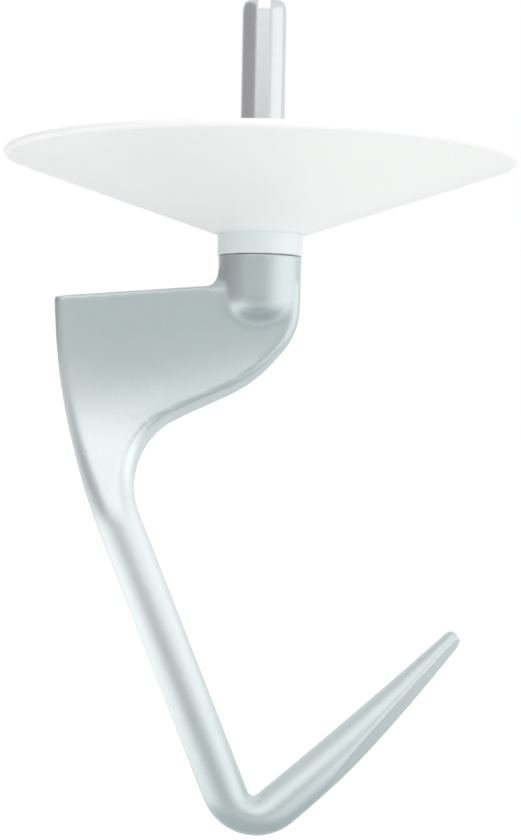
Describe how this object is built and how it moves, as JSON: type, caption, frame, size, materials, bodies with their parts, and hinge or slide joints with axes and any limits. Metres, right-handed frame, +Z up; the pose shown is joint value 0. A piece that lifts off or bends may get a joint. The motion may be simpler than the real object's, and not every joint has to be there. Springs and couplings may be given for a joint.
{
  "type": "stand mixer dough hook",
  "caption": "Stand mixer dough hook: steel drive shaft, cast aluminium blade and bent hook, and a dished plastic guard that turns on the shaft.",
  "frame": {"origin": "on the shaft's axis, in the plane of the guard hub's top face, where the mouth of the mixer's drive socket stops", "axes": "+Z up along the shaft, the blade towards -X, the tip towards +X, the elbow towards -Y"},
  "size_m": [0.11, 0.11, 0.1754],
  "materials": {
    "turned_steel": "fine turned",
    "white_plastic": "satin moulded",
    "blasted_aluminium": "satin blasted"
  },
  "bodies": {
    "hook": {"hook": "blasted_aluminium", "drive_shaft": "turned_steel"},
    "guard": {"dough_guard": "white_plastic"}
  },
  "joints": [
    {"name": "guard_turn", "type": "hinge", "parent": "hook", "child": "guard", "pos_m": [0, 0, 0], "axis": [0, 0, 1], "continuous": true}
  ]
}
